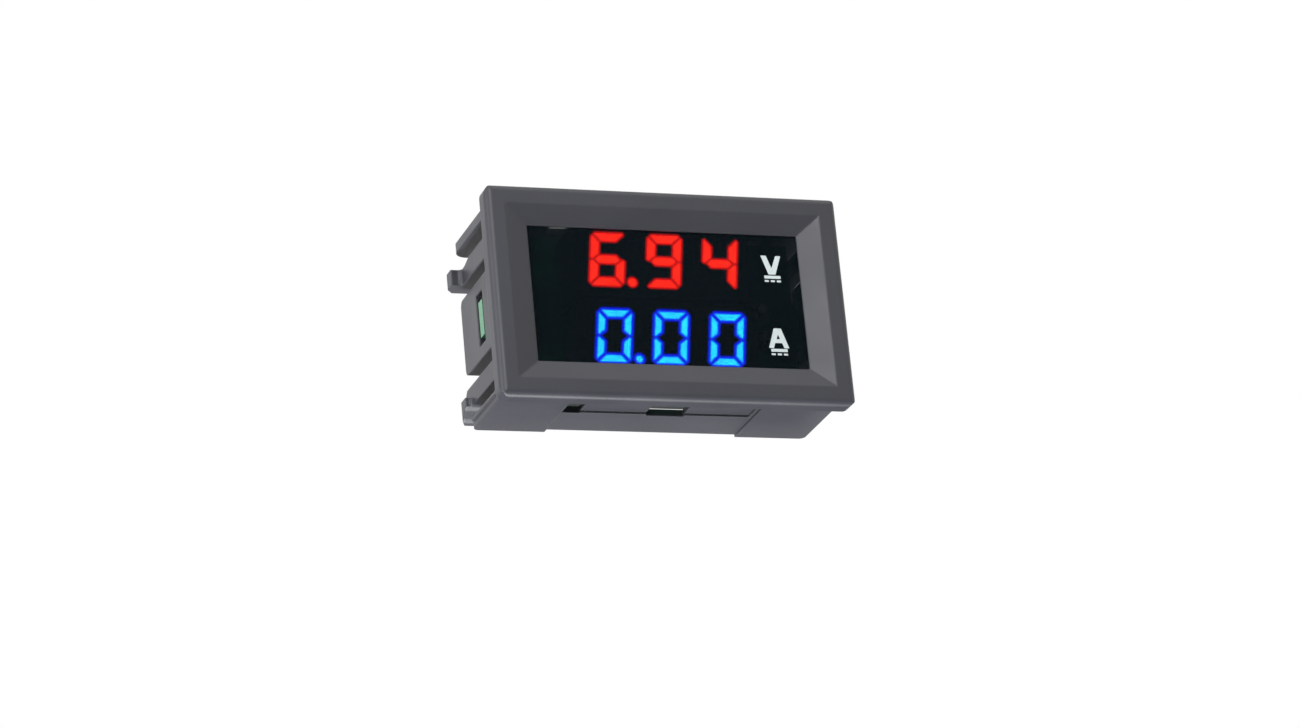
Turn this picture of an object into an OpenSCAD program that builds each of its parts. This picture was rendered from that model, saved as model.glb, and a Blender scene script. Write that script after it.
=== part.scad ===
// Two-line digital panel meter for a snap-in cut-out.
// Frame: origin at the centre of the bezel's rear face, X to the right as read,
// Y into the panel, Z up. All lengths are in millimetres, angles in degrees.

/* [Bezel] */
// Width of the bezel
bezel_w = 48; // [47:0.5:56]
// Height of the bezel
bezel_h = 28.8; // [28.2:0.2:34]
// Thickness of the bezel in front of the panel
bezel_t = 2.5; // [2.2:0.1:3.5]
// Radius of the bezel's four corners, seen from the front
bezel_corner_r = 1.3; // [0.8:0.1:2]
// Radius of the rounded front edge
bezel_edge_r = 0.9; // [0.4:0.1:1.2]
// Width of the flat rim round the sloping frame
rim_w = 2.5; // [2:0.1:2.8]
// Width of the window opening
window_w = 36.8; // [35:0.2:38]
// Height of the window opening
window_h = 18.5; // [17.5:0.1:19]
// Depth of the window's front face below the rim
window_set = 1.3; // [1:0.1:1.4]
// Upright edge between the sloping frame and the window
lip_t = 0.25; // [0.15:0.05:0.4]

/* [Case] */
// Width over the ends of the top and bottom walls
body_w = 45.6; // [45.2:0.1:46]
// Height over the pads of the top and bottom walls
body_h = 26.2; // [26:0.1:27]
// Depth of the bottom wall behind the bezel
body_d = 14; // [13:0.5:16]
// How much further back the top wall reaches
top_more_d = 2.4; // [1:0.1:3]
// How much further back the middle side walls reach
cheek_more_d = 1.8; // [1:0.1:2.4]
// Thickness of the top and bottom walls at their pads
wall_t = 1.3; // [1:0.1:1.5]
// Thickness of the side walls and snap arms
side_t = 1.7; // [1.5:0.1:1.8]
// How far they stand in from the ends of the top and bottom walls
side_in = 0.35; // [0.2:0.05:0.5]
// Plan radius at the rear corners of the top wall
top_corner_r = 1.8; // [0.6:0.1:2.5]
// Plan radius at the rear corners of the bottom wall
bottom_corner_r = 0.8; // [0.4:0.1:1.8]
// How far the end pads stand proud of the middle
pad_step = 0.35; // [0.2:0.05:0.5]
// Half width of the recessed middle between the pads
pad_in = 13.1; // [12.6:0.1:16]
// Width of the slender lip along the ends of the bottom wall
end_lip_t = 0.4; // [0.3:0.05:0.5]
// How far that lip stands out
end_lip_out = 0.25; // [0.1:0.05:0.35]

/* [Mould windows] */
// Distance from the bezel to the mould windows and groove
notch_start = 1; // [0.6:0.1:1.6]
// Depth of the short mould window
notch_short_d = 6.6; // [5.5:0.1:7.2]
// Width of the short mould window
notch_short_w = 2.8; // [2:0.1:3.4]
// Depth of the long mould window
notch_long_d = 6.9; // [5.5:0.1:7.5]
// Width of the long mould window
notch_long_w = 5.2; // [4:0.1:7]
// Left end of the long mould window
notch_long_x = -1.3; // [-4:0.1:-1]
// Length of the shallow groove that joins the windows
groove_w = 23; // [20:0.5:23.3]
// Front to back size of the groove
groove_d = 6.4; // [5:0.1:7]
// Depth of the groove in the wall
groove_t = 0.3; // [0.15:0.05:0.4]

/* [Side walls] */
// Half height of the middle side wall
cheek_h = 5.2; // [4.5:0.05:5.6]
// Rounding of its rear corners
cheek_r = 0.9; // [0.4:0.1:1.5]
// Height from the middle to the near edge of a snap arm
arm_gap_z = 7; // [6.8:0.1:7.4]
// Height of a snap arm
arm_h = 2.7; // [2.3:0.1:3]
// Length of a snap arm behind the bezel
arm_len = 17.1; // [16.5:0.1:20]
// Distance from the end of an arm to the catch face of its hook
hook_back = 2.8; // [2.4:0.1:4]
// Flat land on the crown of a hook
hook_land = 1.8; // [1:0.1:2]
// Reach of the upper hooks beyond the arm
upper_hook_out = 1.5; // [0.8:0.1:1.7]
// Reach of the lower hooks beyond the arm
lower_hook_out = 0.9; // [0.6:0.1:1.2]
// How far the lower hooks start below the upper edge of their arms
lower_hook_drop = 1.6; // [1.2:0.1:1.8]
// Fillet between an arm and its hook
hook_fillet = 0.6; // [0.2:0.1:0.8]
// Drop of the upper arm's top edge before its hook
upper_drop = 0.55; // [0.2:0.05:0.8]
// Drop of the lower arm's toe at its end
toe_drop = 1.7; // [0.4:0.1:1.8]

/* [Board] */
// Distance from the bezel to the front of the circuit board
board_y = 7.2; // [7:0.1:7.6]
// Thickness of the circuit board
board_t = 1.6; // [1.2:0.1:1.8]
// Width of the circuit board without its tabs
board_w = 40.8; // [39:0.2:41]
// Height of the circuit board
board_h = 22.8; // [21.8:0.2:23.2]
// Height of the tabs that sit in the side walls
tab_h = 4.8; // [3.5:0.1:5.5]
// How far a tab stops short of the side wall's outer face
tab_set = 0.1; // [0:0.1:0.8]
// Room round a tab, towards front and rear
slot_play_y = 0.6; // [0.3:0.1:0.8]
// Room above and below a tab
slot_play_z = 1.1; // [0.5:0.1:1.5]
// Distance from the middle to the ribs that the board rests on
rib_x = 17; // [14:0.5:19]
// Width of a rib
rib_w = 1; // [0.8:0.1:1.5]

/* [Display] */
// Width of a three-digit display
module_w = 23.4; // [23:0.1:24]
// Height of a display
module_h = 10; // [9.6:0.1:10.2]
// Distance between the two lines of digits
line_pitch = 10.5; // [10.3:0.1:11]
// Height of a digit
digit_h = 7.2; // [6.5:0.1:7.6]
// Width of a digit, without its slant
digit_w = 4.6; // [3.9:0.1:4.7]
// Distance between digits
digit_pitch = 7.65; // [7.5:0.05:7.7]
// Offset of the digits from the middle
digit_x = 0; // [-0.4:0.1:0]
// Width of a segment
stroke = 1.05; // [0.7:0.05:1.1]
// Gap between segments
segment_gap = 0.24; // [0.1:0.02:0.3]
// Slant of the digits
slant = 7; // [0:0.5:9]
// Diameter of a decimal point
point_d = 1.1; // [0.8:0.05:1.2]
// Depth of the light wells in the display's face
well_depth = 0.5; // [0.3:0.1:1]

/* [Headers] */
// Distance from the middle to the supply header
supply_x = -15.9; // [-16.5:0.1:-15.5]
// Pin spacing of the supply header
supply_pitch = 2.5; // [2.3:0.1:2.6]
// Height of the supply header's shroud above the board
supply_d = 7; // [6:0.2:9]
// Distance from the middle to the current header
current_x = 15.9; // [15.5:0.1:16.2]
// Pin spacing of the current header
current_pitch = 3.96; // [3.5:0.02:4.2]
// Height of the current header's pins above the board
current_pin_d = 9.7; // [8.5:0.1:12]

/* [Trimmers] */
// Side of a trimmer's square base
trimmer_w = 3.6; // [3.2:0.1:4]
// Height of a trimmer's base above the board
trimmer_d = 1.5; // [1.2:0.1:2.5]
// Diameter of the rotor
rotor_d = 2.6; // [2:0.1:2.8]
// Running clearance round the rotor, on the radius
rotor_play = 0.05; // [0.03:0.01:0.08]
// Distance from the middle to a trimmer, sideways
trimmer_x = 16; // [15.5:0.1:17]
// Height of the trimmers above the middle
trimmer_z = 8.3; // [8.2:0.1:8.8]

/* [Hidden] */
$fn = 48;

case_grey = [0.24, 0.25, 0.27];
black_plastic = [0.07, 0.07, 0.08];
solder_silver = [0.75, 0.76, 0.78];
nylon_white = [0.93, 0.92, 0.88];
eps = 0.01;
over = 1;

// Planes and half sizes that several pieces share
wall_end_x = body_w / 2;
side_x = wall_end_x - side_in;
inner_x = side_x - side_t;
inner_z = body_h / 2 - wall_t;
top_d = body_d + top_more_d;
cheek_d = body_d + cheek_more_d;
hook_y = arm_len - hook_back;
wall_root = 0.6;
rib_seat = 0.9;
film_t = 0.4;
film_lap = 1;
point_fit = 0.02;
film_front = window_set - bezel_t;
film_rear = film_front + film_t;
fit_gap = 0.05;
module_front = film_rear + fit_gap;
module_d = board_y - module_front;
board_rear = board_y + board_t;
slot_h = tab_h + 2 * slot_play_z;
pin_row_z = 4.4;
pin_pitch = 2.54;
pins_per_row = 6;
pin_side = 0.45;
pin_hole_d = 0.8;
pin_end = 1.2;
header_pin_side = 0.64;
header_hole_d = 1;
blade_side = 1.14;
blade_hole_d = 1.75;
solder_h = 1;
solder_ring = 0.95;
display_solder_h = 0.7;
display_solder_ring = 0.5;
pin_below_rim = 1;
tail = 1.6;
shunt_wire_d = 1.6;
shunt_hole_d = 1.8;
shunt_span = 5;
shunt_z = -8.6;
shunt_leg = 1.2;
supply_pins = 3;
current_pins = 2;
readings = [[6, 9, 4], [0, 0, 0]];
point_after = 0;

// ---- Outline helpers -------------------------------------------------------

// What is taken off an upper right corner to round it
module corner_cut(r)
    translate([-r, -r]) difference() {
        square(r + over);
        circle(r);
    }

// A rectangle from y = -root to y = d that has its two far corners rounded
module tongue(w, d, r, root = 0) difference() {
    translate([-w / 2, -root]) square([w, d + root]);
    for (s = [0, 1]) mirror([s, 0]) translate([w / 2, d]) corner_cut(r);
}

// A rectangle with four round corners, on the origin
module round_rect(w, h, r) difference() {
    square([w, h], center = true);
    for (sx = [0, 1], sy = [0, 1])
        mirror([sx, 0]) mirror([0, sy]) translate([w / 2, h / 2]) corner_cut(r);
}

// Turns an outline drawn in x and z into a solid from y_from to y_to
module front_extrude(y_from, y_to)
    translate([0, y_to, 0]) rotate([90, 0, 0]) linear_extrude(y_to - y_from) children();

// Turns an outline drawn in y and z into a solid from x_from to x_to
module side_extrude(x_from, x_to)
    translate([x_from, 0, 0]) rotate([90, 0, 90]) linear_extrude(x_to - x_from) children();

// A block given by its middle in x and z, its front in y and its size
module block(x, y, z, size)
    translate([x - size[0] / 2, y, z - size[2] / 2]) cube(size);

// ---- Case -----------------------------------------------------------------

module bezel_blank() intersection() {
    front_extrude(-bezel_t, 0) round_rect(bezel_w, bezel_h, bezel_corner_r);
    translate([0, 0, -bezel_h / 2 - over]) linear_extrude(bezel_h + 2 * over)
        mirror([0, 1]) tongue(bezel_w, bezel_t, bezel_edge_r);
    side_extrude(-bezel_w / 2 - over, bezel_w / 2 + over)
        rotate(90) tongue(bezel_h, bezel_t, bezel_edge_r);
}

// Section of the sloping frame: wide at the rim, narrow at the window
module slope_section(wide, narrow) {
    bottom = -bezel_t + window_set - lip_t;
    polygon([[-wide / 2, -bezel_t], [-wide / 2, -bezel_t - over], [wide / 2, -bezel_t - over],
        [wide / 2, -bezel_t], [narrow / 2, bottom], [-narrow / 2, bottom]]);
}

module bezel_slope() intersection() {
    translate([0, 0, -bezel_h / 2]) linear_extrude(bezel_h)
        slope_section(bezel_w - 2 * rim_w, window_w);
    side_extrude(-bezel_w / 2, bezel_w / 2)
        mirror([1, -1]) slope_section(bezel_h - 2 * rim_w, window_h);
}

module case_inside() {
    front_extrude(-bezel_t, over) square([window_w, window_h], center = true);
    front_extrude(film_front, over)
        square([window_w + 2 * (film_lap + fit_gap), window_h + 2 * (film_lap + fit_gap)],
            center = true);
    front_extrude(film_rear, over) square([2 * inner_x, 2 * inner_z], center = true);
}

// The top wall, with its outer face up; the bottom wall is this one turned over
module deck(deck_d, corner_r) difference() {
    translate([0, 0, inner_z]) linear_extrude(wall_t)
        tongue(2 * wall_end_x, deck_d, corner_r, wall_root);
    translate([-pad_in, 0, body_h / 2 - pad_step]) cube([2 * pad_in, deck_d + over, over]);
    translate([-pad_in, notch_start, inner_z - over])
        cube([notch_short_w, notch_short_d, wall_t + 2 * over]);
    translate([notch_long_x, notch_start, inner_z - over])
        cube([notch_long_w, notch_long_d, wall_t + 2 * over]);
    translate([notch_short_w - pad_in, notch_start, body_h / 2 - pad_step - groove_t])
        cube([groove_w, groove_d, over]);
}

module bottom_end_lips() for (s = [-1, 1])
    block(s * (wall_end_x + end_lip_out / 2 - eps), 0, -inner_z - end_lip_t / 2,
        [end_lip_out + 2 * eps, body_d - bottom_corner_r, end_lip_t]);

module cheek() side_extrude(inner_x, side_x) difference() {
    rotate(-90) tongue(2 * cheek_h, cheek_d, cheek_r, wall_root);
    translate([board_y - slot_play_y, -slot_h / 2]) square([board_t + 2 * slot_play_y, slot_h]);
}

// Eases from 0 to 1 over the run u = 0 to 1
function ease(u) = (1 - cos(180 * u)) / 2;
ease_steps = 6;

hook_nose = 0.8;
hook_share = 0.6;

// Plan of a hook on the right side, with its fillet on the arm
module hook_plan(hook_out) {
    crown = side_x + hook_out;
    nose = min(hook_nose, hook_out * hook_share);
    polygon([[inner_x, hook_y], [crown, hook_y], [crown, hook_y + hook_land],
        [crown - nose, arm_len], [inner_x, arm_len]]);
    fillet = min(hook_fillet, hook_out * hook_share);
    difference() {
        translate([side_x - eps, hook_y - fillet]) square([fillet + eps, fillet + eps]);
        translate([side_x + fillet, hook_y - fillet]) circle(fillet);
    }
}

// Stretches over which the arms' edges bend, from the hook and from the arm's end
dip_from = 3.8;
dip_to = 0.6;
toe_from = 3;
toe_to = 0.4;
upper_run = [hook_y - dip_from, hook_y - dip_to];
toe_run = [arm_len - toe_from, arm_len - toe_to];
arm_end_chamfer = 1.1;
upper_end_drop = 0.77;

// Side view of the upper arm: its top edge dips before the hook
module upper_arm_side() polygon(concat(
    [[-over, arm_gap_z], [-over, arm_gap_z + arm_h]],
    [for (i = [0:ease_steps]) [upper_run[0] + (upper_run[1] - upper_run[0]) * i / ease_steps,
        arm_gap_z + arm_h - upper_drop * ease(i / ease_steps)]],
    [[arm_len - arm_end_chamfer, arm_gap_z + arm_h - upper_drop],
     [arm_len, arm_gap_z + arm_h - upper_drop - upper_end_drop], [arm_len, arm_gap_z]]));

// Side view of the lower arm: its end is cut off above and bent down to a toe
module lower_arm_side() polygon(concat(
    [[-over, -arm_gap_z], [arm_len - arm_end_chamfer, -arm_gap_z],
     [arm_len, -arm_gap_z - arm_end_chamfer], [arm_len, -arm_gap_z - arm_h - toe_drop]],
    [for (i = [ease_steps:-1:0]) [toe_run[0] + (toe_run[1] - toe_run[0]) * i / ease_steps,
        -arm_gap_z - arm_h - toe_drop * ease(i / ease_steps)]],
    [[-over, -arm_gap_z - arm_h]]));

// The part of the lower arm's side view that its hook takes up
module lower_hook_side() intersection() {
    lower_arm_side();
    translate([0, -body_h / 2]) square([arm_len + over, body_h / 2 - arm_gap_z - lower_hook_drop]);
}

module hook(hook_out) intersection() {
    translate([0, 0, -body_h / 2]) linear_extrude(body_h) hook_plan(hook_out);
    side_extrude(inner_x, side_x + hook_out + over) children();
}

module snap_arms() {
    side_extrude(inner_x, side_x) upper_arm_side();
    hook(upper_hook_out) upper_arm_side();
    side_extrude(inner_x, side_x) lower_arm_side();
    hook(lower_hook_out) lower_hook_side();
}

module board_ribs() for (s = [-1, 1], u = [-1, 1])
    block(s * rib_x, film_rear - eps, u * (inner_z + board_h / 2 - rib_seat) / 2,
        [rib_w, board_y - film_rear + eps, inner_z - board_h / 2 + rib_seat + 2 * eps]);

module case() color(case_grey) {
    difference() {
        union() {
            bezel_blank();
            for (s = [0, 1]) mirror([s, 0, 0]) {
                cheek();
                snap_arms();
            }
            deck(top_d, top_corner_r);
            mirror([0, 0, 1]) deck(body_d, bottom_corner_r);
            bottom_end_lips();
        }
        bezel_slope();
        case_inside();
    }
    board_ribs();
}

// ---- Window and displays ----------------------------------------------------

module window() color([0.03, 0.08, 0.1, 0.6])
    front_extrude(film_front, film_rear)
        square([window_w + 2 * film_lap, window_h + 2 * film_lap], center = true);

// Segments a, f and g of an upright digit; the others mirror them
tip = 0.14;
function segment_a() =
    let (x = digit_w / 2, z = digit_h / 2, g = segment_gap, t = stroke)
    [[g + 2 * tip - x, z], [x - g - 2 * tip, z], [x - g - tip, z - tip],
     [x - g - t, z - t], [g + t - x, z - t], [g + tip - x, z - tip]];
function segment_f() =
    let (x = digit_w / 2, z = digit_h / 2, g = segment_gap, t = stroke)
    [[-x, z - g - 2 * tip], [tip - x, z - g - tip], [t - x, z - g - t],
     [t - x, t / 2 + g], [t / 4 - x, g / 2], [-x, g / 2 + tip]];
function segment_g() =
    let (x = digit_w / 2, g = segment_gap, t = stroke, end = x - t / 4 - 1.6 * g)
    [[-end, 0], [g / 2 + t - x, t / 2], [x - g / 2 - t, t / 2],
     [end, 0], [x - g / 2 - t, -t / 2], [g / 2 + t - x, -t / 2]];
function flip_x(points) = [for (p = points) [-p[0], p[1]]];
function flip_z(points) = [for (p = points) [p[0], -p[1]]];
function slanted(points) = [for (p = points) [p[0] + p[1] * tan(slant), p[1]]];
segments = [["a", segment_a()], ["b", flip_x(segment_f())], ["c", flip_x(flip_z(segment_f()))],
    ["d", flip_z(segment_a())], ["e", flip_z(segment_f())], ["f", segment_f()],
    ["g", segment_g()]];
digit_letters = ["abcdef", "bc", "abdeg", "abcdg", "bcfg", "acdfg", "acdefg", "abc", "abcdefg",
    "abcdfg"];
function is_lit(letter, number) = len(search(letter, digit_letters[number])) > 0;

line_z = [line_pitch / 2, -line_pitch / 2];
point_gap = 0.8;
point_x = digit_w / 2 + point_gap;
point_z = point_d / 2 - digit_h / 2;

// The outlines of one line's segments, either the lit ones or the dark ones
module line_segments(line, lit) for (i = [0:2])
    translate([digit_x + (i - 1) * digit_pitch, line_z[line]]) {
        for (s = segments) if (is_lit(s[0], readings[line][i]) == lit) polygon(slanted(s[1]));
    }

module line_points(line, lit, d) for (i = [0:2])
    if ((i == point_after) == lit)
        translate([digit_x + (i - 1) * digit_pitch + point_x, line_z[line] + point_z])
            circle(d = d);

module display(line) difference() {
    block(0, module_front, line_z[line], [module_w, module_d, module_h]);
    front_extrude(module_front - over, module_front + well_depth) {
        line_segments(line, true);
        line_segments(line, false);
    }
    front_extrude(module_front - over, module_front + well_depth)
        for (lit = [true, false]) line_points(line, lit, point_d + 2 * point_fit);
}

module digits(line, lit) {
    front_extrude(module_front, module_front + well_depth) line_segments(line, lit);
    front_extrude(module_front, module_front + well_depth) line_points(line, lit, point_d);
}

module voltage_display() color(black_plastic) display(0);
module voltage_digits_lit() color([1, 0.15, 0.08]) digits(0, true);
module voltage_digits_dark() color([0.2, 0.08, 0.08]) digits(0, false);
module current_display() color(black_plastic) display(1);
module current_digits_lit() color([0.1, 0.7, 1]) digits(1, true);
module current_digits_dark() color([0.08, 0.12, 0.2]) digits(1, false);

// Places something at each pin of one display
module at_display_pins(line) for (i = [0:pins_per_row - 1], row = [-1, 1])
    translate([(i - (pins_per_row - 1) / 2) * pin_pitch, 0, line_z[line] + row * pin_row_z])
        children();

// A cone of solder that rises from y_face, to the rear or to the front
module solder(y_face, rearwards, d, h)
    translate([0, y_face, 0]) rotate([rearwards ? -90 : 90, 0, 0])
        cylinder(h = h, d1 = d, d2 = d * 0.5);

module display_pins(line) color(solder_silver) at_display_pins(line) {
    block(0, board_y, 0, [pin_side, board_t + pin_end, pin_side]);
    solder(board_rear, true, pin_hole_d + display_solder_ring, display_solder_h);
}
module voltage_display_pins() display_pins(0);
module current_display_pins() display_pins(1);

// ---- Circuit board and what is soldered to it ----------------------------------

// Places something at each pin of a header that stands at x
module at_header_pins(x, count, pitch) for (i = [0:count - 1])
    translate([x, 0, (i - (count - 1) / 2) * pitch]) children();

module board_hole(d) front_extrude(board_y - over, board_rear + over) circle(d = d);

module circuit_board() color([0.05, 0.42, 0.22]) difference() {
    front_extrude(board_y, board_rear) {
        square([board_w, board_h], center = true);
        square([2 * (side_x - tab_set), tab_h], center = true);
    }
    for (line = [0, 1]) at_display_pins(line) board_hole(pin_hole_d);
    at_header_pins(supply_x, supply_pins, supply_pitch) board_hole(header_hole_d);
    at_header_pins(current_x, current_pins, current_pitch) board_hole(blade_hole_d);
    for (s = [-1, 1]) translate([current_x + s * shunt_span / 2, 0, shunt_z])
        board_hole(shunt_hole_d);
}

// Chip body with drafted sides, standing on the rear of the board
module chip_body(x, z, w, l, h, stand = 0.08, draft = 0.12)
    translate([x, board_rear, z - l / 2]) linear_extrude(l)
        polygon([[draft - w / 2, stand], [w / 2 - draft, stand], [w / 2, h / 2],
            [w / 2 - draft, h], [draft - w / 2, h], [-w / 2, h / 2]]);

// Bent leads down both sides of a chip
module chip_leads(x, z, w, h, count, pitch, reach, t, lead_w)
    for (s = [0, 1], i = [0:count - 1])
        translate([x, board_rear, z + (i - (count - 1) / 2) * pitch - lead_w / 2])
            mirror([s, 0, 0]) linear_extrude(lead_w) chip_lead_side(w / 2, h / 2, reach, t);

module chip_lead_side(x0, y0, reach, t)
    polygon([[x0, y0 + t / 2], [x0, y0 - t / 2], [x0 + reach * 0.25, y0 - t / 2],
        [x0 + reach * 0.5, 0], [x0 + reach, 0], [x0 + reach, t],
        [x0 + reach * 0.5 + t, t], [x0 + reach * 0.25 + t, y0 + t / 2]]);

mcu = [0, line_z[0], 4.4, 6.5, 1.1];
mcu_leads = [10, 0.65, 1, 0.15, 0.24];
amp = [4.4, line_z[1], 3.9, 4.9, 1.55];
amp_leads = [4, 1.27, 1.05, 0.2, 0.42];
diode = [-15.4, -8.3, 4.3, 2.6, 2.1];
diode_leads_of = [1, 1, 0.5, 0.2, 1.45];

module microcontroller() color(black_plastic) chip_body(mcu[0], mcu[1], mcu[2], mcu[3], mcu[4]);
module microcontroller_leads() color(solder_silver)
    chip_leads(mcu[0], mcu[1], mcu[2], mcu[4], mcu_leads[0], mcu_leads[1], mcu_leads[2],
        mcu_leads[3], mcu_leads[4]);
module op_amp() color(black_plastic) chip_body(amp[0], amp[1], amp[2], amp[3], amp[4]);
module op_amp_leads() color(solder_silver)
    chip_leads(amp[0], amp[1], amp[2], amp[4], amp_leads[0], amp_leads[1], amp_leads[2],
        amp_leads[3], amp_leads[4]);
module protection_diode() color(black_plastic)
    chip_body(diode[0], diode[1], diode[2], diode[3], diode[4]);
module diode_leads() color(solder_silver)
    chip_leads(diode[0], diode[1], diode[2], diode[4], diode_leads_of[0], diode_leads_of[1],
        diode_leads_of[2], diode_leads_of[3], diode_leads_of[4]);

reg = [-6.8, line_z[1], 2.5, 4.5, 1.5];
reg_lead_t = 0.4;
reg_lead = 0.9;
reg_tab = 0.7;
reg_tuck = 0.03;
reg_lead_w = 0.45;
reg_tab_w = 1.7;
reg_pitch = 1.5;
reg_draft = 0.08;
module voltage_regulator() color(black_plastic)
    chip_body(reg[0], reg[1], reg[2], reg[3], reg[4], 0, reg_draft);
module regulator_leads() color(solder_silver) {
    for (i = [-1, 0, 1])
        block(reg[0] - reg[2] / 2 - reg_lead / 2 + reg_tuck, board_rear, reg[1] + i * reg_pitch,
            [reg_lead, reg_lead_t, reg_lead_w]);
    block(reg[0] + reg[2] / 2 + reg_tab / 2 - reg_tuck, board_rear, reg[1],
        [reg_tab, reg_lead_t, reg_tab_w]);
}

tantalum = [-1.7, -7.0, 3.5, 2.8, 1.9];
tantalum_bevel = 0.5;
module tantalum_capacitor() color([0.85, 0.6, 0.15]) difference() {
    block(tantalum[0], board_rear, tantalum[1], [tantalum[2], tantalum[4], tantalum[3]]);
    translate([tantalum[0] - tantalum[2] / 2, board_rear + tantalum[4], 0]) rotate([0, 0, 45])
        cube([tantalum_bevel, tantalum_bevel, 2 * board_h], center = true);
}

chip_size = [1.6, 0.5, 0.8];
cap_size = [1.6, 0.8, 0.8];
chip_rows = [-2, 0, 2];
resistor_columns = [-8.6, -5.6];
capacitor_columns = [5.4, 8.4];
divider_columns = [-2.9, -0.5];
divider_z = -3.2;
sense_column = 9.4;
module chip_resistors() color([0.12, 0.12, 0.14]) {
    for (x = resistor_columns, z = chip_rows) block(x, board_rear, line_z[0] + z, chip_size);
    for (x = divider_columns) block(x, board_rear, divider_z, chip_size);
    for (z = chip_rows) block(sense_column, board_rear, line_z[1] + z, chip_size);
}
module chip_capacitors() color([0.62, 0.5, 0.36])
    for (x = capacitor_columns, z = chip_rows) block(x, board_rear, line_z[0] + z, cap_size);

// A thick U of resistance wire that carries the measured current
module current_shunt() color([0.72, 0.68, 0.62]) translate([current_x, 0, shunt_z]) {
    for (s = [-1, 1]) translate([s * shunt_span / 2, 0, 0]) {
        translate([0, board_y - tail, 0]) rotate([-90, 0, 0])
            cylinder(h = tail + board_t + shunt_leg, d = shunt_wire_d);
        solder(board_y, false, shunt_hole_d + solder_ring, solder_h);
    }
    translate([0, board_rear + shunt_leg, 0])
        rotate_extrude(angle = 180) translate([shunt_span / 2, 0]) circle(d = shunt_wire_d);
}

// ---- Trimmers -----------------------------------------------------------------

rotor_floor = 0.4;
rotor_proud = 0.25;
slot_w = 0.5;
slot_depth = 0.45;
foot = [0.7, 0.25, 0.4];

module trimmer_base(x) translate([x, 0, trimmer_z]) {
    difference() {
        block(0, board_rear, 0, [trimmer_w, trimmer_d, trimmer_w]);
        translate([0, board_rear + rotor_floor, 0]) rotate([-90, 0, 0])
            cylinder(h = trimmer_d, d = rotor_d + 2 * rotor_play);
    }
    for (s = [-1, 1]) block(s * trimmer_w / 4, board_rear, (trimmer_w + foot[2]) / 2 - eps, foot);
    block(0, board_rear, -(trimmer_w + foot[2]) / 2 + eps, [2 * foot[0], foot[1], foot[2]]);
}

module rotor(x) translate([x, board_rear + rotor_floor + rotor_play, trimmer_z])
    rotate([-90, 0, 0]) difference() {
        cylinder(h = trimmer_d - rotor_floor - rotor_play + rotor_proud, d = rotor_d);
        translate([0, 0, trimmer_d - rotor_floor - rotor_play + rotor_proud])
            for (a = [0, 90]) rotate(a)
                cube([rotor_d * 0.8, slot_w, 2 * slot_depth], center = true);
    }

module voltage_trimmer() color([0.8, 0.8, 0.78]) trimmer_base(-trimmer_x);
module current_trimmer() color([0.8, 0.8, 0.78]) trimmer_base(trimmer_x);
module voltage_trimmer_rotor() color([0.83, 0.7, 0.36]) rotor(-trimmer_x);
module current_trimmer_rotor() color([0.83, 0.7, 0.36]) rotor(trimmer_x);

// ---- Headers ------------------------------------------------------------------

supply_w = 5.75;
supply_end = 2.45;
supply_l = (supply_pins - 1) * supply_pitch + 2 * supply_end;
supply_wall = 0.7;
supply_floor = 1.8;
key_w = 1.3;
side_key = [3.15, 2];
end_key_y = 3.85;

module supply_header() color(nylon_white) difference() {
    block(supply_x, board_rear, 0, [supply_w, supply_d, supply_l]);
    block(supply_x, board_rear + supply_floor, 0,
        [supply_w - 2 * supply_wall, supply_d, supply_l - 2 * supply_wall]);
    for (s = [-1, 1]) block(supply_x - supply_w / 2, board_rear + side_key[0],
        s * side_key[1], [2 * supply_wall + over, supply_d, key_w]);
    for (s = [-1, 1]) block(supply_x, board_rear + end_key_y, s * supply_l / 2,
        [key_w, supply_d, 2 * supply_wall + over]);
    at_header_pins(supply_x, supply_pins, supply_pitch)
        block(0, board_rear - over, 0, [header_pin_side, supply_d, header_pin_side]);
}

module supply_header_pins() color(solder_silver)
    at_header_pins(supply_x, supply_pins, supply_pitch) {
        block(0, board_y - tail, 0,
            [header_pin_side, tail + board_t + supply_d - pin_below_rim, header_pin_side]);
        solder(board_y, false, header_hole_d + solder_ring, solder_h);
    }

current_l = current_pitch * current_pins;
current_base = [6.6, 3.2];
lock_t = 1.2;
lock_d = 8.2;
lock_nose = 0.5;
lock_relief_w = 0.7;
lock_relief_z = 1.66;
lock_ramp = 1.4;
lock_flat = 0.5;
lock_under = 0.3;
lock_tip_t = 0.72;
base_bevel = 0.5;

// Section of the current header: a low base with a locking wall on its outer side
module current_section() {
    half = current_base[0] / 2;
    crest = half - lock_t - lock_nose;
    polygon([[-half, 0], [half, 0], [half, lock_d], [half - lock_tip_t, lock_d],
        [crest, lock_d - lock_ramp], [crest, lock_d - lock_ramp - lock_flat],
        [half - lock_t, lock_d - lock_ramp - lock_flat - lock_under],
        [half - lock_t, current_base[1]], [base_bevel - half, current_base[1]],
        [-half, current_base[1] - base_bevel]]);
}

module current_header() color(nylon_white) difference() {
    translate([current_x, board_rear, -current_l / 2]) linear_extrude(current_l)
        current_section();
    for (s = [-1, 1])
        block(current_x + current_base[0] / 2, board_rear + current_base[1],
            s * lock_relief_z, [4 * lock_t, lock_d, lock_relief_w]);
    at_header_pins(current_x, current_pins, current_pitch)
        block(0, board_rear - over, 0, [blade_side, lock_d, blade_side]);
}

module current_header_pins() color(solder_silver)
    at_header_pins(current_x, current_pins, current_pitch) {
        block(0, board_y - tail, 0, [blade_side, tail + board_t + current_pin_d, blade_side]);
        solder(board_y, false, blade_hole_d + solder_ring, solder_h);
    }

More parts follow.
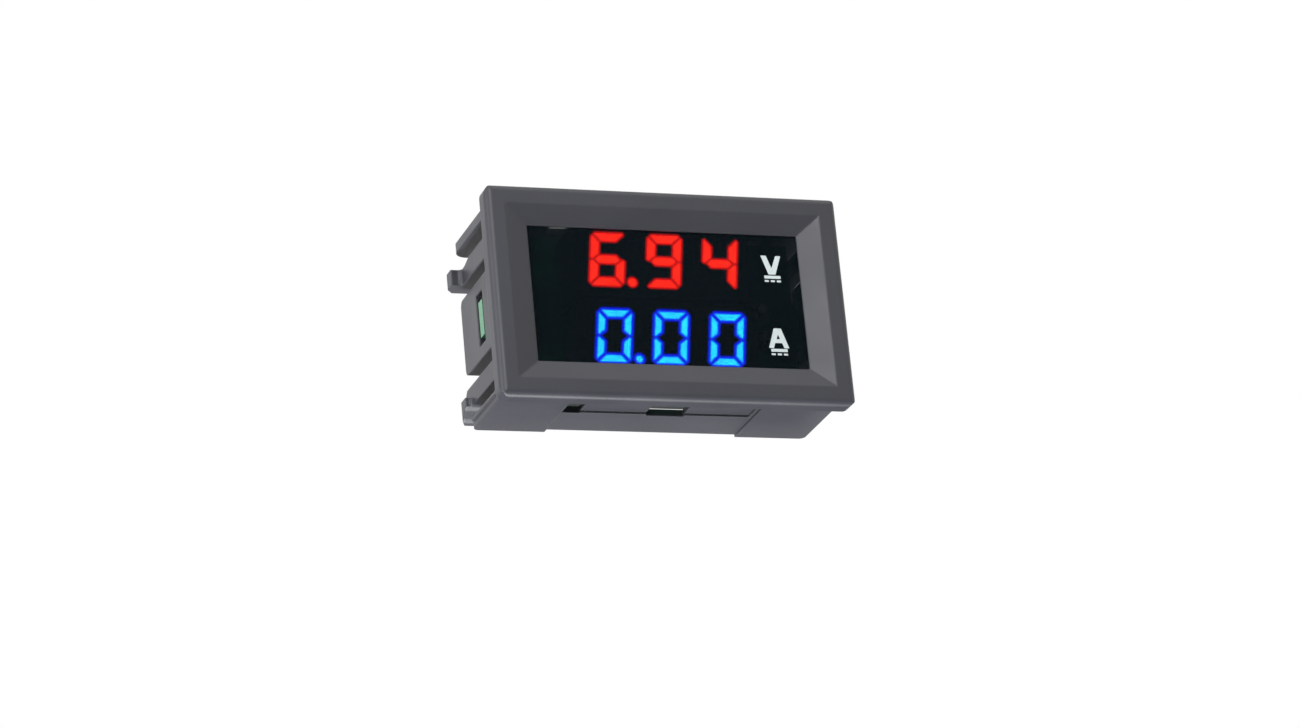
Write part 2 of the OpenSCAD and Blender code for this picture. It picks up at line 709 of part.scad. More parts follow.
case();
window();
voltage_display();
voltage_digits_lit();
voltage_digits_dark();
voltage_display_pins();
current_display();
current_digits_lit();
current_digits_dark();
current_display_pins();
circuit_board();
microcontroller();
microcontroller_leads();
op_amp();
op_amp_leads();
voltage_regulator();
regulator_leads();
protection_diode();
diode_leads();
tantalum_capacitor();
chip_resistors();
chip_capacitors();
current_shunt();
voltage_trimmer();
voltage_trimmer_rotor();
current_trimmer();
current_trimmer_rotor();
supply_header();
supply_header_pins();
current_header();
current_header_pins();
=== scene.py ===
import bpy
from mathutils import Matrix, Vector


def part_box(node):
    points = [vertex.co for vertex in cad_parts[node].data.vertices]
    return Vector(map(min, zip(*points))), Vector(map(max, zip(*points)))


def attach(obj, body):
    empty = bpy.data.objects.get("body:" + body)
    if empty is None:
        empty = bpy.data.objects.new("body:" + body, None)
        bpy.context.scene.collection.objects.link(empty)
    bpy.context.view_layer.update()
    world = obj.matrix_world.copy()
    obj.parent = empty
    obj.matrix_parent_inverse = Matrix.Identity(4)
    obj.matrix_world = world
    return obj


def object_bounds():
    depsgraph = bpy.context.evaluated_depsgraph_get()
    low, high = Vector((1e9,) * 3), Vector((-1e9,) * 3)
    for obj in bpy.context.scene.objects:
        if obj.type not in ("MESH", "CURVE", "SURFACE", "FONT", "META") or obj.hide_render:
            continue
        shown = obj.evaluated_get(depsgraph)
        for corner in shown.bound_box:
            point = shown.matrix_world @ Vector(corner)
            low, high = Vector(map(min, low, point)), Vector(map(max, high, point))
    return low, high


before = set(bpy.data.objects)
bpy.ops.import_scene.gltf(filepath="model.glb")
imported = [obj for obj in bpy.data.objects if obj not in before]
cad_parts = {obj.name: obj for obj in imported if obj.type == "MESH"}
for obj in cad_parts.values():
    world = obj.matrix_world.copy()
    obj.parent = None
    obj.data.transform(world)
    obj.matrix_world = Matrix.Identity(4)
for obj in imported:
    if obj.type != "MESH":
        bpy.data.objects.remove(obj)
cadBox = [list(corner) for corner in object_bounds()]

import math

import bmesh
import bpy
import numpy as np
from mathutils import Matrix, Vector

mm = 0.001
print("frame loaded:", len(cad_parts), "nodes")


def addNode(tree, kind, settings=None, links=None):
    node = tree.nodes.new("ShaderNode" + kind)
    for name, value in (settings or {}).items():
        if isinstance(name, int) or name in node.inputs:
            node.inputs[name].default_value = value
        else:
            setattr(node, name, value)
    for name, source in (links or {}).items():
        tree.links.new(source, node.inputs[name])
    return node


def hexColour(code, alpha=1.0):
    channels = [int(code[i:i + 2], 16) / 255 for i in (1, 3, 5)]
    return [c / 12.92 if c <= 0.04045 else ((c + 0.055) / 1.055) ** 2.4 for c in channels] + [alpha]


def startMaterial(name, settings):
    material = bpy.data.materials.new(name)
    material.use_nodes = True
    tree = material.node_tree
    shader = tree.nodes["Principled BSDF"]
    for socket, value in settings.items():
        shader.inputs[socket].default_value = value
    return material, tree, shader


def addGrain(tree, shader, grainMm, depthMm, edgeMm=0.0):
    # noise of one real grain size as bump, over edges softened by edgeMm
    place = addNode(tree, "TexCoord").outputs["Object"]
    noise = addNode(tree, "TexNoise", {"Scale": 1 / (grainMm * mm), "Detail": 3.0}, {"Vector": place})
    bump = addNode(tree, "Bump", {"Strength": 0.6, "Distance": depthMm * mm},
                   {"Height": noise.outputs["Factor" if "Factor" in noise.outputs else "Fac"]})
    if edgeMm:
        edge = addNode(tree, "Bevel", {"samples": 4, "Radius": edgeMm * mm})
        tree.links.new(edge.outputs["Normal"], bump.inputs["Normal"])
    tree.links.new(bump.outputs["Normal"], shader.inputs["Normal"])
    return place


def varyTone(tree, shader, place, patchMm, dark, light, roughness):
    # slow patches of tone and gloss, as handling and flow leave them
    noise = addNode(tree, "TexNoise", {"Scale": 1 / (patchMm * mm), "Detail": 4.0}, {"Vector": place})
    value = noise.outputs["Factor" if "Factor" in noise.outputs else "Fac"]
    tone = addNode(tree, "Mix", {"data_type": "RGBA", 6: hexColour(dark), 7: hexColour(light)}, {0: value})
    gloss = addNode(tree, "MapRange", {"From Min": 0.3, "From Max": 0.7, "To Min": roughness[0],
                                       "To Max": roughness[1]}, {"Value": value})
    tree.links.new(tone.outputs[2], shader.inputs["Base Color"])
    tree.links.new(gloss.outputs["Result"], shader.inputs["Roughness"])
    return tone


def makePlain(name, dark, light, roughness, grainMm, depthMm, patchMm=3.0, edgeMm=0.05, **sockets):
    material, tree, shader = startMaterial(name, {k.replace("_", " "): v for k, v in sockets.items()})
    place = addGrain(tree, shader, grainMm, depthMm, edgeMm)
    varyTone(tree, shader, place, patchMm, dark, light, roughness)
    return material


# Camera: below and left of the meter, level with nothing, a long lens
cameraView = {"azimuth": -20.48, "elevation": -19.98, "roll": -5.44, "distance": 0.6,
              "slideMm": (-1.99, -8.0), "lens": 129.31, "sensor": 36.0}


def makeCamera(view):
    a, e, r = (math.radians(view[k]) for k in ("azimuth", "elevation", "roll"))
    back = Vector((math.sin(a) * math.cos(e), -math.cos(a) * math.cos(e), math.sin(e)))
    level = Vector((math.cos(a), math.sin(a), 0))
    upright = back.cross(level)
    right = level * math.cos(r) + upright * math.sin(r)
    up = upright * math.cos(r) - level * math.sin(r)
    place = back * view["distance"] + right * view["slideMm"][0] * mm + up * view["slideMm"][1] * mm
    data = bpy.data.cameras.new("photoCamera")
    data.lens, data.sensor_width = view["lens"], view["sensor"]
    data.clip_start, data.clip_end = 0.01, 10
    camera = bpy.data.objects.new("photoCamera", data)
    turn = Matrix((right, up, back)).transposed().to_4x4()
    camera.matrix_world = Matrix.Translation(place) @ turn
    bpy.context.scene.collection.objects.link(camera)
    bpy.context.scene.camera = camera


makeCamera(cameraView)
bpy.context.scene.view_settings.view_transform = "Standard"
print("camera set")

# Soft studio: a lamp at the left rakes the bezel, one below lights the underside, others fill
lamps = {"left": {"place": (-0.62, -0.26, -0.04), "size": 0.26, "watts": 3.6},
         "kicker": {"place": (-0.20, -0.63, 0.24), "size": 0.20, "watts": 1.2},
         "below": {"place": (-0.02, 0.06, -0.65), "size": 0.30, "watts": 8.0},
         "above": {"place": (0.10, -0.30, 0.62), "size": 0.55, "watts": 0.6},
         "behind": {"place": (0.30, 0.60, 0.35), "size": 0.50, "watts": 1.6}}
room = {"ambient": 0.22, "backdrop": "#ffffff"}


def makeStudio():
    for name, lamp in lamps.items():
        data = bpy.data.lights.new(name + "Lamp", "AREA")
        data.energy, data.size, data.shape = lamp["watts"], lamp["size"], "DISK"
        lampObject = bpy.data.objects.new(name + "Lamp", data)
        lampObject.location = lamp["place"]
        lampObject.rotation_mode = "QUATERNION"
        lampObject.rotation_quaternion = (-Vector(lamp["place"])).to_track_quat("-Z", "Y")
        lampObject.visible_camera = False
        bpy.context.scene.collection.objects.link(lampObject)
    world = bpy.data.worlds.new("studio")
    bpy.context.scene.world = world
    world.use_nodes = True
    tree = world.node_tree
    tree.nodes.clear()
    rays = addNode(tree, "LightPath")
    seen = addNode(tree, "Math", {"operation": "MAXIMUM"},
                   {0: rays.outputs["Is Camera Ray"], 1: rays.outputs["Is Glossy Ray"]})
    seen = addNode(tree, "Math", {"operation": "MAXIMUM"},
                   {0: seen.outputs[0], 1: rays.outputs["Is Transmission Ray"]})
    fill = addNode(tree, "Background", {"Color": hexColour(room["backdrop"]), "Strength": room["ambient"]})
    wall = addNode(tree, "Background", {"Color": hexColour(room["backdrop"]), "Strength": 1.0})
    both = addNode(tree, "MixShader", None, {0: seen.outputs[0], 1: fill.outputs[0], 2: wall.outputs[0]})
    addNode(tree, "OutputWorld", None, {"Surface": both.outputs[0]})


floorSettings = {"half": 0.6, "colour": "#f1f1f0", "gapMm": 0.02}


def makeFloor(settings):
    # seen from above only, so that the camera and the low lamp look up through it
    bpy.ops.mesh.primitive_plane_add(size=2 * settings["half"])
    floor = bpy.context.object
    floor.name = "studioFloor"
    floor.location.z = cadBox[0][2] - settings["gapMm"] * mm
    material, tree, shader = startMaterial("mattePaperSweep", {"Roughness": 0.9})
    place = addGrain(tree, shader, 2.0, 0.02)
    varyTone(tree, shader, place, 60, settings["colour"], "#f6f6f5", (0.85, 0.95))
    rays = addNode(tree, "LightPath")
    side = addNode(tree, "NewGeometry")
    through = addNode(tree, "Math", {"operation": "MAXIMUM"},
                      {0: rays.outputs["Is Shadow Ray"], 1: side.outputs["Backfacing"]})
    clear = addNode(tree, "BsdfTransparent")
    both = addNode(tree, "MixShader", None, {0: through.outputs[0], 1: shader.outputs[0], 2: clear.outputs[0]})
    tree.links.new(both.outputs[0], tree.nodes["Material Output"].inputs["Surface"])
    floor.data.materials.append(material)


makeStudio()
makeFloor(floorSettings)
print("studio set")


def dress(material, *nodes):
    for name in nodes:
        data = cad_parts[name].data
        data.materials.clear()
        data.materials.append(material)


# ABS, moulded against a spark-eroded tool: a fine satin grain that scatters highlights; the rounded edges
# carry a painted highlight that makes them a little paler. The real grain, about 0.05 mm, is drawn at 0.3 mm so
# that it shows
caseLook = {"dark": "#33343a", "light": "#3a3b42", "grainMm": 0.3, "depthMm": 0.012, "edgeMm": 0.35,
            "roughness": (0.36, 0.44), "specular": 0.45, "paintedEdgeHighlight": "#6b6d73"}


def makeSparkErodedAbs(look):
    material, tree, shader = startMaterial("sparkErodedAbs", {
        "IOR": 1.54, "Specular IOR Level": look["specular"]})
    place = addGrain(tree, shader, look["grainMm"], look["depthMm"], look["edgeMm"])
    tone = varyTone(tree, shader, place, 9, look["dark"], look["light"], look["roughness"])
    # painted highlight: edges are mixed paler where the softened normal leaves the true one
    soft = addNode(tree, "Bevel", {"samples": 4, "Radius": look["edgeMm"] * mm})
    true = addNode(tree, "NewGeometry")
    match = addNode(tree, "VectorMath", {"operation": "DOT_PRODUCT"},
                    {0: soft.outputs[0], 1: true.outputs["Normal"]})
    edgeHighlightShare = addNode(tree, "MapRange", {"From Min": 0.99, "From Max": 0.8, "To Min": 0.0, "To Max": 0.35},
                   {"Value": match.outputs["Value"]})
    edgeHighlightMix = addNode(tree, "Mix", {"data_type": "RGBA", 7: hexColour(look["paintedEdgeHighlight"])},
                     {0: edgeHighlightShare.outputs["Result"], 6: tone.outputs[2]})
    tree.links.new(edgeHighlightMix.outputs[2], shader.inputs["Base Color"])
    return material


dress(makeSparkErodedAbs(caseLook), "case")

# PMMA filter sheet, smoked and matt-coated: dark, nearly no mirror image, faint smears
filmLook = {"colour": "#030f15", "alpha": 0.7, "specular": 0.06, "smearMm": 5.0}


def makeSmokedAcrylic(look):
    material, tree, shader = startMaterial("smokedAcrylicSheet", {
        "Base Color": hexColour(look["colour"]), "Alpha": look["alpha"], "IOR": 1.49,
        "Specular IOR Level": look["specular"]})
    place = addNode(tree, "TexCoord").outputs["Object"]
    smear = addNode(tree, "TexNoise", {"Scale": 1 / (look["smearMm"] * mm), "Detail": 5.0}, {"Vector": place})
    gloss = addNode(tree, "MapRange", {"To Min": 0.1, "To Max": 0.28}, {"Value": smear.outputs[0]})
    tree.links.new(gloss.outputs["Result"], shader.inputs["Roughness"])
    return material


dress(makeSmokedAcrylic(filmLook), "window")

# black ABS shell of the displays with a matt ink on its face
dress(makePlain("mattInkedShell", "#0b0c0f", "#111216", (0.6, 0.75), 0.25, 0.005), "voltage_display",
      "current_display")

# core colours the lit segments; edge, insideMm, outsideMm and share, with strength, also set the painted glow sheet
# round them
lightLook = {"red": {"core": "#ff2412", "edge": "#e80c05", "strength": 12.5, "insideMm": 0.14,
                     "outsideMm": 0.42, "share": 0.55},
             "blue": {"core": "#24ccff", "edge": "#0a24f0", "strength": 12.0, "insideMm": 0.26,
                      "outsideMm": 0.5, "share": 0.85}}


def makeLitEpoxy(name, look):
    # cast epoxy lit by a chip under it: nearly even, a little brighter over each chip
    material, tree, shader = startMaterial(name, {
        "Base Color": hexColour("#100808"), "Emission Color": hexColour(look["core"]), "Roughness": 0.35})
    place = addNode(tree, "TexCoord").outputs["Object"]
    spot = addNode(tree, "TexNoise", {"Scale": 1 / (1.6 * mm), "Detail": 1.0}, {"Vector": place})
    power = addNode(tree, "MapRange", {"From Min": 0.3, "From Max": 0.7, "To Min": look["strength"] * 0.9,
                                       "To Max": look["strength"] * 1.12}, {"Value": spot.outputs[0]})
    tree.links.new(power.outputs["Result"], shader.inputs["Emission Strength"])
    return material


dress(makeLitEpoxy("litRedEpoxy", lightLook["red"]), "voltage_digits_lit")
dress(makeLitEpoxy("litBlueEpoxy", lightLook["blue"]), "current_digits_lit")
# the same epoxy unlit: milky grey that hardly shows through the filter
dress(makePlain("unlitRedEpoxy", "#1a1416", "#221a1c", (0.3, 0.4), 0.3, 0.004), "voltage_digits_dark")
dress(makePlain("unlitBlueEpoxy", "#14161c", "#1a1d26", (0.3, 0.4), 0.3, 0.004), "current_digits_dark")

# FR-4 laminate under green solder mask: glossy and thin over the copper; its sawn edges show pale fibre
boardLook = {"mask": ("#0d5a35", "#12693f"), "edge": ("#1d6a45", "#479f72"), "fibreMm": 0.35}


def makeSolderMask(look):
    material, tree, shader = startMaterial("solderMaskFr4", {"IOR": 1.55, "Coat Weight": 0.3})
    place = addGrain(tree, shader, 0.5, 0.006, 0.05)
    tone = varyTone(tree, shader, place, 4, look["mask"][0], look["mask"][1], (0.26, 0.38))
    fibre = addNode(tree, "TexNoise", {"Scale": 1 / (look["fibreMm"] * mm), "Detail": 2.0}, {"Vector": place})
    sawn = addNode(tree, "Mix", {"data_type": "RGBA", 6: hexColour(look["edge"][0]),
                                 7: hexColour(look["edge"][1])}, {0: fibre.outputs[0]})
    facing = addNode(tree, "SeparateXYZ", None, {0: addNode(tree, "NewGeometry").outputs["Normal"]})
    across = addNode(tree, "Math", {"operation": "ABSOLUTE"}, {0: facing.outputs["Y"]})
    isFace = addNode(tree, "Math", {"operation": "GREATER_THAN", 1: 0.5}, {0: across.outputs[0]})
    both = addNode(tree, "Mix", {"data_type": "RGBA"},
                   {0: isFace.outputs[0], 6: sawn.outputs[2], 7: tone.outputs[2]})
    tree.links.new(both.outputs[2], shader.inputs["Base Color"])
    return material


dress(makeSolderMask(boardLook), "circuit_board")

# tin plate and reflowed solder: bright, slightly frosted
solderedTin = makePlain("reflowedTin", "#b4b7bb", "#d2d4d6", (0.2, 0.36), 0.3, 0.01, 1.2, Metallic=1.0)
dress(solderedTin, "voltage_display_pins", "current_display_pins", "microcontroller_leads",
      "op_amp_leads", "regulator_leads", "diode_leads", "supply_header_pins", "current_header_pins")
# moulded epoxy with glass filler: near black, dull
dress(makePlain("filledEpoxyMoulding", "#151517", "#1d1d20", (0.5, 0.66), 0.22, 0.008), "microcontroller",
      "op_amp", "voltage_regulator", "protection_diode")
# thick-film chip under its glaze
dress(makePlain("glazedThickFilm", "#141518", "#1b1c20", (0.22, 0.32), 0.3, 0.003), "chip_resistors")
# fired titanate ceramic
dress(makePlain("firedCeramic", "#7d6243", "#93775a", (0.5, 0.62), 0.15, 0.006), "chip_capacitors")
# constantan wire, drawn: soft brown-silver sheen
dress(makePlain("drawnConstantan", "#8f8474", "#ada08e", (0.26, 0.4), 0.4, 0.006, 1.5, Metallic=1.0),
      "current_shunt")
# pressed and plated steel of the trimmers, and their turned brass rotors
dress(makePlain("platedPressedSteel", "#9fa09d", "#b9bab6", (0.3, 0.45), 0.3, 0.006, Metallic=1.0),
      "voltage_trimmer", "current_trimmer")
dress(makePlain("turnedBrass", "#b08d45", "#caa860", (0.24, 0.36), 0.25, 0.006, 1.0, Metallic=1.0),
      "voltage_trimmer_rotor", "current_trimmer_rotor")
# nylon 66, moulded, unfilled: milky, lets a little light in
dress(makePlain("mouldedNylon66", "#e4e1d6", "#efece2", (0.36, 0.5), 0.4, 0.006, 4.0,
                Subsurface_Weight=0.15, Subsurface_Radius=(0.0006, 0.0005, 0.0004)),
      "supply_header", "current_header")

# tantalum capacitor: ochre epoxy, brown band at its positive end
tantalumLook = {"body": ("#c98f2a", "#dba23a"), "band": "#5d3714", "bandShare": 0.2}


def makeTantalum(look):
    material, tree, shader = startMaterial("ochreEpoxyCase", {"IOR": 1.55})
    place = addGrain(tree, shader, 0.2, 0.006, 0.05)
    tone = varyTone(tree, shader, place, 2, look["body"][0], look["body"][1], (0.45, 0.58))
    along = addNode(tree, "SeparateXYZ", None, {0: addNode(tree, "TexCoord").outputs["Generated"]})
    inBand = addNode(tree, "Math", {"operation": "LESS_THAN", 1: look["bandShare"]}, {0: along.outputs["X"]})
    both = addNode(tree, "Mix", {"data_type": "RGBA", 7: hexColour(look["band"])},
                   {0: inBand.outputs[0], 6: tone.outputs[2]})
    tree.links.new(both.outputs[2], shader.inputs["Base Color"])
    return material


dress(makeTantalum(tantalumLook), "tantalum_capacitor")
print("nodes dressed")


def meshPiece(name, vertices, faces, material, body="meter"):
    data = bpy.data.meshes.new(name)
    data.from_pydata([tuple(v) for v in vertices], [], faces)
    data.validate()
    piece = bpy.data.objects.new(name, data)
    bpy.context.scene.collection.objects.link(piece)
    data.materials.append(material)
    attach(piece, body)
    return piece


# Painted glow: the light that the filter sheet scatters round the lit segments, drawn as an emitting fine sheet
# just behind the film
def glowSheet(name, litNode, look):
    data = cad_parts[litNode].data
    points = np.array([v.co for v in data.vertices])
    front = points[:, 1].min()
    count, ends = {}, {}
    for face in data.polygons:
        if all(abs(points[i][1] - front) < 1e-6 for i in face.vertices):
            ring = [tuple(np.round(points[i][[0, 2]], 7)) for i in face.vertices]
            for a, b in zip(ring, ring[1:] + ring[:1]):
                key = tuple(sorted((a, b)))
                count[key] = count.get(key, 0) + 1
                ends[key] = (a, b)
    edges = np.array([ends[k] for k, n in count.items() if n == 1])
    reach = 1.3 * mm
    step = 0.12 * mm
    low, high = edges.reshape(-1, 2).min(0) - reach, edges.reshape(-1, 2).max(0) + reach
    xs, zs = (np.arange(low[k], high[k] + step, step) for k in (0, 1))
    grid = np.stack(np.meshgrid(xs, zs, indexing="ij"), -1).reshape(-1, 2)
    distance, inside = np.full(len(grid), 1e9), np.zeros(len(grid), bool)
    for a, b in edges:
        run = b - a
        t = np.clip(((grid - a) @ run) / (run @ run), 0, 1)
        distance = np.minimum(distance, np.linalg.norm(grid - (a + t[:, None] * run), axis=1))
        crosses = (a[1] > grid[:, 1]) != (b[1] > grid[:, 1])
        if run[1]:
            inside ^= crosses & (grid[:, 0] < run[0] * (grid[:, 1] - a[1]) / run[1] + a[0])
    signed = np.where(inside, -distance, distance)
    columns = len(zs)
    keep = signed < reach
    faces, used = [], {}
    vertices = []

    def index(k):
        if k not in used:
            used[k] = len(vertices)
            vertices.append((grid[k][0], front - 0.025 * mm, grid[k][1]))
        return used[k]
    for i in range(len(xs) - 1):
        for j in range(columns - 1):
            corners = [i * columns + j, (i + 1) * columns + j, (i + 1) * columns + j + 1, i * columns + j + 1]
            if all(keep[c] for c in corners):
                faces.append([index(c) for c in corners])
    # the sheet's emission is painted light standing in for the film's scatter round the segments
    material, tree, shader = startMaterial(name + "PaintedHalo", {
        "Base Color": (0, 0, 0, 1), "Specular IOR Level": 0.0, "Roughness": 1.0,
        "Emission Color": hexColour(look["edge"]), "Emission Strength": look["strength"]})
    from_ = addNode(tree, "Attribute", {"attribute_name": "edgeDistanceMm"}).outputs["Fac"]
    inner = addNode(tree, "MapRange", {"From Min": -look["insideMm"], "From Max": 0.0, "To Min": 0.0,
                                       "To Max": look["share"], "interpolation_type": "SMOOTHSTEP"},
                    {"Value": from_})
    outer = addNode(tree, "MapRange", {"From Min": 0.0, "From Max": look["outsideMm"], "To Min": 1.0,
                                       "To Max": 0.0, "interpolation_type": "SMOOTHERSTEP"}, {"Value": from_})
    both = addNode(tree, "Math", {"operation": "MULTIPLY"}, {0: inner.outputs[0], 1: outer.outputs[0]})
    tree.links.new(both.outputs[0], shader.inputs["Alpha"])
    piece = meshPiece(name, vertices, faces, material)
    attribute = piece.data.attributes.new("edgeDistanceMm", "FLOAT", "POINT")
    order = sorted(used, key=used.get)
    attribute.data.foreach_set("value", (signed[order] / mm).astype(np.float32))
    return piece


glowSheet("voltageGlow", "voltage_digits_lit", lightLook["red"])
glowSheet("currentGlow", "current_digits_lit", lightLook["blue"])
print("glow made")

# Unit signs, V and A with the direct-current bars: screen print on the film's face
signs = {"thickMm": 0.02, "cornerMm": 0.08,
         "vMiddle": (14.62, 5.15), "aMiddle": (14.53, -5.0),
         "v": [(-1.38, 1.31), (-0.64, 1.31), (-0.02, -0.42), (0.68, 1.31), (1.38, 1.31), (0.46, -1.31),
               (-0.5, -1.31)],
         "a": [(-1.4, -1.36), (-0.5, 1.36), (0.5, 1.36), (1.4, -1.36), (0.72, -1.36), (0.48, -0.66),
               (-0.48, -0.66), (-0.72, -1.36)],
         "aHole": [(0.0, 0.5), (0.24, -0.12), (-0.24, -0.12)],
         "barDrop": 1.67, "barSize": (2.26, 0.42), "dashDrop": 2.22, "dashSize": (0.58, 0.27), "dashPitch": 0.84}


def roundedLoop(points, radius, steps=4):
    loop = []
    for k, p in enumerate(points):
        p, before, after = Vector(p), Vector(points[k - 1]), Vector(points[(k + 1) % len(points)])
        cut = min(radius, (before - p).length * 0.45, (after - p).length * 0.45)
        start, end = p + (before - p).normalized() * cut, p + (after - p).normalized() * cut
        for i in range(steps + 1):
            t = i / steps
            loop.append((1 - t) ** 2 * start + 2 * t * (1 - t) * p + t * t * end)
    return loop


def makeSigns(settings):
    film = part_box("window")
    face = film[0].y
    curve = bpy.data.curves.new("unitSignsCurve", "CURVE")
    curve.dimensions, curve.fill_mode, curve.extrude = "2D", "BOTH", settings["thickMm"] * mm / 2

    def add(points, middle):
        loop = roundedLoop(points, settings["cornerMm"])
        spline = curve.splines.new("POLY")
        spline.points.add(len(loop) - 1)
        for target, p in zip(spline.points, loop):
            target.co = ((p.x + middle[0]) * mm, (p.y + middle[1]) * mm, 0, 1)
        spline.use_cyclic_u = True

    def block(size):
        w, h = size[0] / 2, size[1] / 2
        return [(-w, -h), (w, -h), (w, h), (-w, h)]
    for letter, middle in (("v", settings["vMiddle"]), ("a", settings["aMiddle"])):
        add(settings[letter], middle)
        if letter == "a":
            add(settings["aHole"], middle)
        add(block(settings["barSize"]), (middle[0], middle[1] - settings["barDrop"]))
        for k in (-1, 0, 1):
            add(block(settings["dashSize"]),
                (middle[0] + k * settings["dashPitch"], middle[1] - settings["dashDrop"]))
    drawn = bpy.data.objects.new("unitSignsCurve", curve)
    bpy.context.scene.collection.objects.link(drawn)
    bpy.context.view_layer.update()
    data = bpy.data.meshes.new_from_object(drawn.evaluated_get(bpy.context.evaluated_depsgraph_get()))
    bpy.data.objects.remove(drawn)
    # stand it up: drawn in x and y, wanted in x and z, just proud of the film
    data.transform(Matrix.Translation((0, face - settings["thickMm"] * mm / 2, 0)) @ Matrix.Rotation(math.pi / 2, 4, "X"))
    piece = bpy.data.objects.new("unitSigns", data)
    bpy.context.scene.collection.objects.link(piece)
    # screen-printed white ink: a little thin and uneven at its middle
    data.materials.clear()
    data.materials.append(makePlain("screenPrintedInk", "#cfdfe0", "#eef6f6", (0.5, 0.65), 0.2, 0.004, 0.4))
    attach(piece, "meter")


makeSigns(signs)
print("signs made")


def solidBoxes(node):
    # lowest and highest corner of each separate solid of a node
    work = bmesh.new()
    work.from_mesh(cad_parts[node].data)
    bmesh.ops.remove_doubles(work, verts=work.verts, dist=1e-7)
    boxes, seen = [], set()
    for start in work.verts:
        if start in seen:
            continue
        group, todo = [], [start]
        seen.add(start)
        while todo:
            v = todo.pop()
            group.append(v.co.copy())
            for e in v.link_edges:
                other = e.other_vert(v)
                if other not in seen:
                    seen.add(other)
                    todo.append(other)
        boxes.append([Vector([f(p[k] for p in group) for k in range(3)]) for f in (min, max)])
    work.free()
    return boxes


# Tinned end caps with their solder fillets, on each chip resistor and chip capacitor
capLook = {"length": 0.36, "proud": 0.025, "fillet": 0.3, "corner": 0.05}


def makeEndCaps(settings):
    vertices, faces = [], []
    for low, high in solidBoxes("chip_resistors") + solidBoxes("chip_capacitors"):
        p = settings["proud"] * mm
        for sign in (-1, 1):
            end = high.x if sign > 0 else low.x
            inner, outer = end - sign * settings["length"] * mm, end + sign * p
            foot = outer + sign * settings["fillet"] * mm
            top, base = high.y + p, low.y + 0.01 * mm
            rise = low.y + 0.75 * (high.y - low.y)
            section = [(inner, base), (foot, base), (outer + sign * 0.07 * mm, (base + rise) / 2 - 0.06 * mm),
                       (outer, rise), (outer, top - settings["corner"] * mm),
                       (outer - sign * settings["corner"] * mm, top), (inner, top)]
            n, k = len(section), len(vertices)
            for z in (low.z - p, high.z + p):
                vertices += [(x, y, z) for x, y in section]
            faces += [[k + i for i in range(n)], [k + n + i for i in range(n)][::-1]]
            faces += [[k + i, k + (i + 1) % n, k + n + (i + 1) % n, k + n + i] for i in range(n)]
    piece = meshPiece("chipEndCaps", vertices, faces, solderedTin)
    work = bmesh.new()
    work.from_mesh(piece.data)
    bmesh.ops.recalc_face_normals(work, faces=work.faces)
    work.to_mesh(piece.data)
    work.free()


makeEndCaps(capLook)

# Copper tracks under the mask on the board's rear face, in mm from the middle
tracks = {"width": 0.32, "wide": 1.1, "high": 0.03, "colour": ("#177a4c", "#1c8a58"),
          "thin": [[(-3.5, 8.2), (-4.6, 8.2), (-5.0, 7.8)], [(-3.5, 6.9), (-4.8, 6.9)],
                   [(-3.5, 5.6), (-4.6, 5.6)], [(-3.5, 4.3), (-4.4, 4.3), (-5.0, 3.7)],
                   [(3.5, 8.2), (4.2, 8.2), (4.6, 7.8)], [(3.5, 5.6), (4.6, 5.6)],
                   [(3.5, 3.0), (4.2, 3.0), (4.6, 3.4)], [(-9.6, 7.2), (-11.2, 7.2), (-12.4, 8.4), (-13.9, 8.4)],
                   [(-9.6, 5.2), (-11.6, 5.2), (-13, 3.8)], [(-9.6, 3.2), (-11.4, 3.2), (-12.2, 2.4), (-12.9, 2.4)],
                   [(9.5, 7.2), (11.4, 7.2), (12.6, 8.4), (13.9, 8.4)], [(9.5, 5.2), (12.3, 5.2)],
                   [(9.5, 3.2), (11.0, 3.2), (11.8, 2.4)], [(-1.4, 1.4), (-1.4, -1.8), (-2.2, -2.6)],
                   [(1.0, 1.4), (1.0, -2.2), (0.5, -2.7)], [(6.9, -3.3), (8.3, -3.3)],
                   [(6.9, -5.3), (8.3, -5.3)], [(6.9, -7.2), (8.3, -7.2)],
                   [(10.4, -3.3), (11.6, -4.5), (11.6, -6.6)], [(1.6, -4.6), (0.6, -3.6)],
                   [(-10.6, 1.0), (-10.6, -2.0), (-9.0, -3.6)], [(-3.2, -5.25), (-2.9, -5.25), (-2.9, -4.1)]],
          "broad": [[(-12.4, -2.5), (-11.4, -3.5), (-11.4, -7.4), (-12.4, -8.3)],
                    [(12.4, -1.9), (11.9, -1.9), (11.9, 1.9), (12.4, 1.9)]],
          "vias": [(-11.9, 1.2), (-10.6, 0.9), (11.9, 3.9), (0.0, -1.0), (3.2, -1.3), (-4.0, -1.4), (7.6, 0.9),
                   (11.6, -7.6), (-12.2, 6.4), (6.2, -9.0), (-9.4, -9.3), (9.4, -9.2)]}


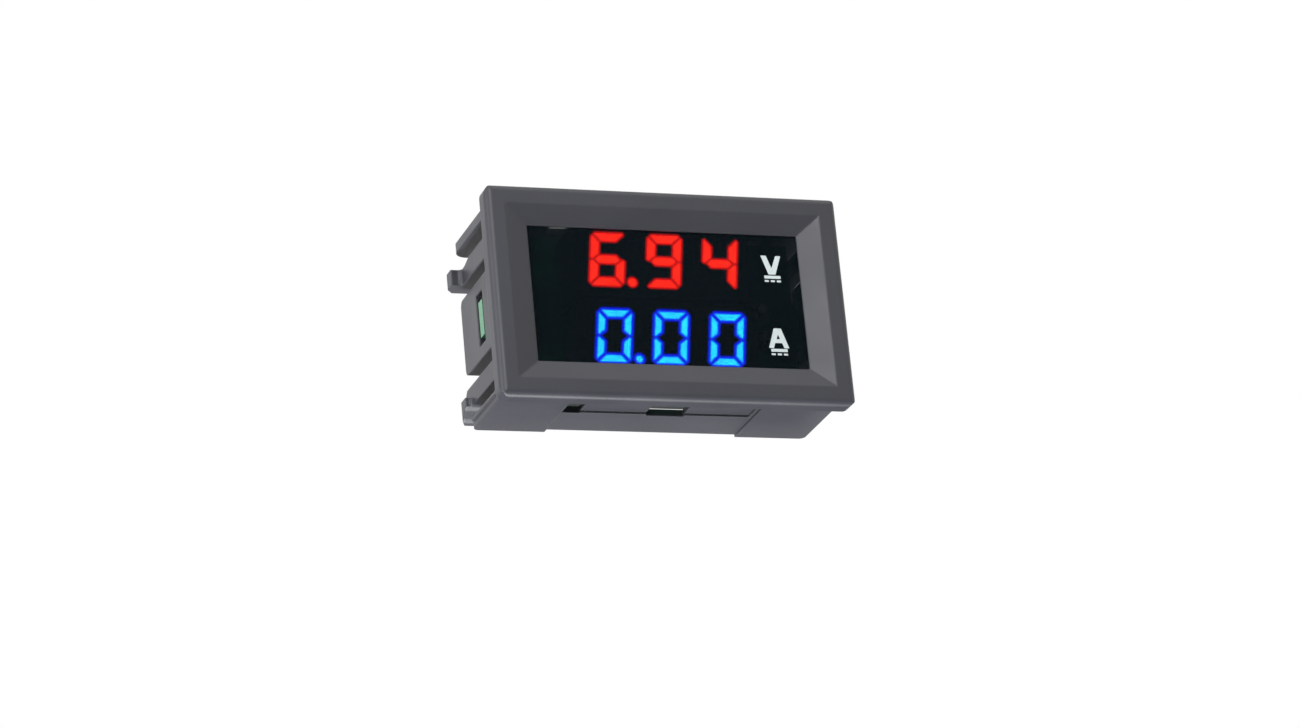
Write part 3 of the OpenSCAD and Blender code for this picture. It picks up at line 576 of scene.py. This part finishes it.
def makeTracks(settings):
    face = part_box("circuit_board")[1].y
    top = face + settings["high"] * mm
    vertices, faces = [], []
    runs = [(r, settings["width"]) for r in settings["thin"]] + [(r, settings["wide"]) for r in settings["broad"]]
    for run, width in runs:
        path = [Vector(p) for p in run]
        k = len(vertices)
        for i, p in enumerate(path):
            before = (p - path[i - 1]).normalized() if i else (path[1] - p).normalized()
            after = (path[i + 1] - p).normalized() if i < len(path) - 1 else before
            along = (before + after).normalized()
            side = Vector((-along.y, along.x)) * (width / 2 / max(0.4, along.dot(before)))
            for edge in (p - side, p + side):
                vertices += [(edge.x * mm, face - 0.01 * mm, edge.y * mm), (edge.x * mm, top, edge.y * mm)]
        for i in range(len(path) - 1):
            a, b = k + 4 * i, k + 4 * i + 4
            faces += [[a + 1, b + 1, b + 3, a + 3], [a, a + 1, b + 1, b], [a + 2, b + 2, b + 3, a + 3],
                      [a, b, b + 2, a + 2]]
        last = k + 4 * (len(path) - 1)
        faces += [[k, k + 1, k + 3, k + 2], [last, last + 2, last + 3, last + 1]]
    # copper under solder mask: the same green, paler and raised
    copper = makePlain("maskedCopper", *settings["colour"], (0.22, 0.34), 0.4, 0.004)
    piece = meshPiece("boardTracks", vertices, faces, copper)
    work = bmesh.new()
    work.from_mesh(piece.data)
    bmesh.ops.recalc_face_normals(work, faces=work.faces)
    work.to_mesh(piece.data)
    work.free()
    rings, ringFaces, sides = [], [], 20
    for x, z in settings["vias"]:
        k = len(rings)
        for radius, y in ((0.42, face), (0.38, top), (0.18, top), (0.16, face)):
            rings += [((x + radius * math.cos(2 * math.pi * i / sides)) * mm, y,
                       (z + radius * math.sin(2 * math.pi * i / sides)) * mm) for i in range(sides)]
        for level in range(3):
            ringFaces += [[k + level * sides + i, k + level * sides + (i + 1) % sides,
                           k + (level + 1) * sides + (i + 1) % sides, k + (level + 1) * sides + i]
                          for i in range(sides)]
    meshPiece("viaRings", rings, ringFaces, solderedTin)


makeTracks(tracks)
print("board detail made")
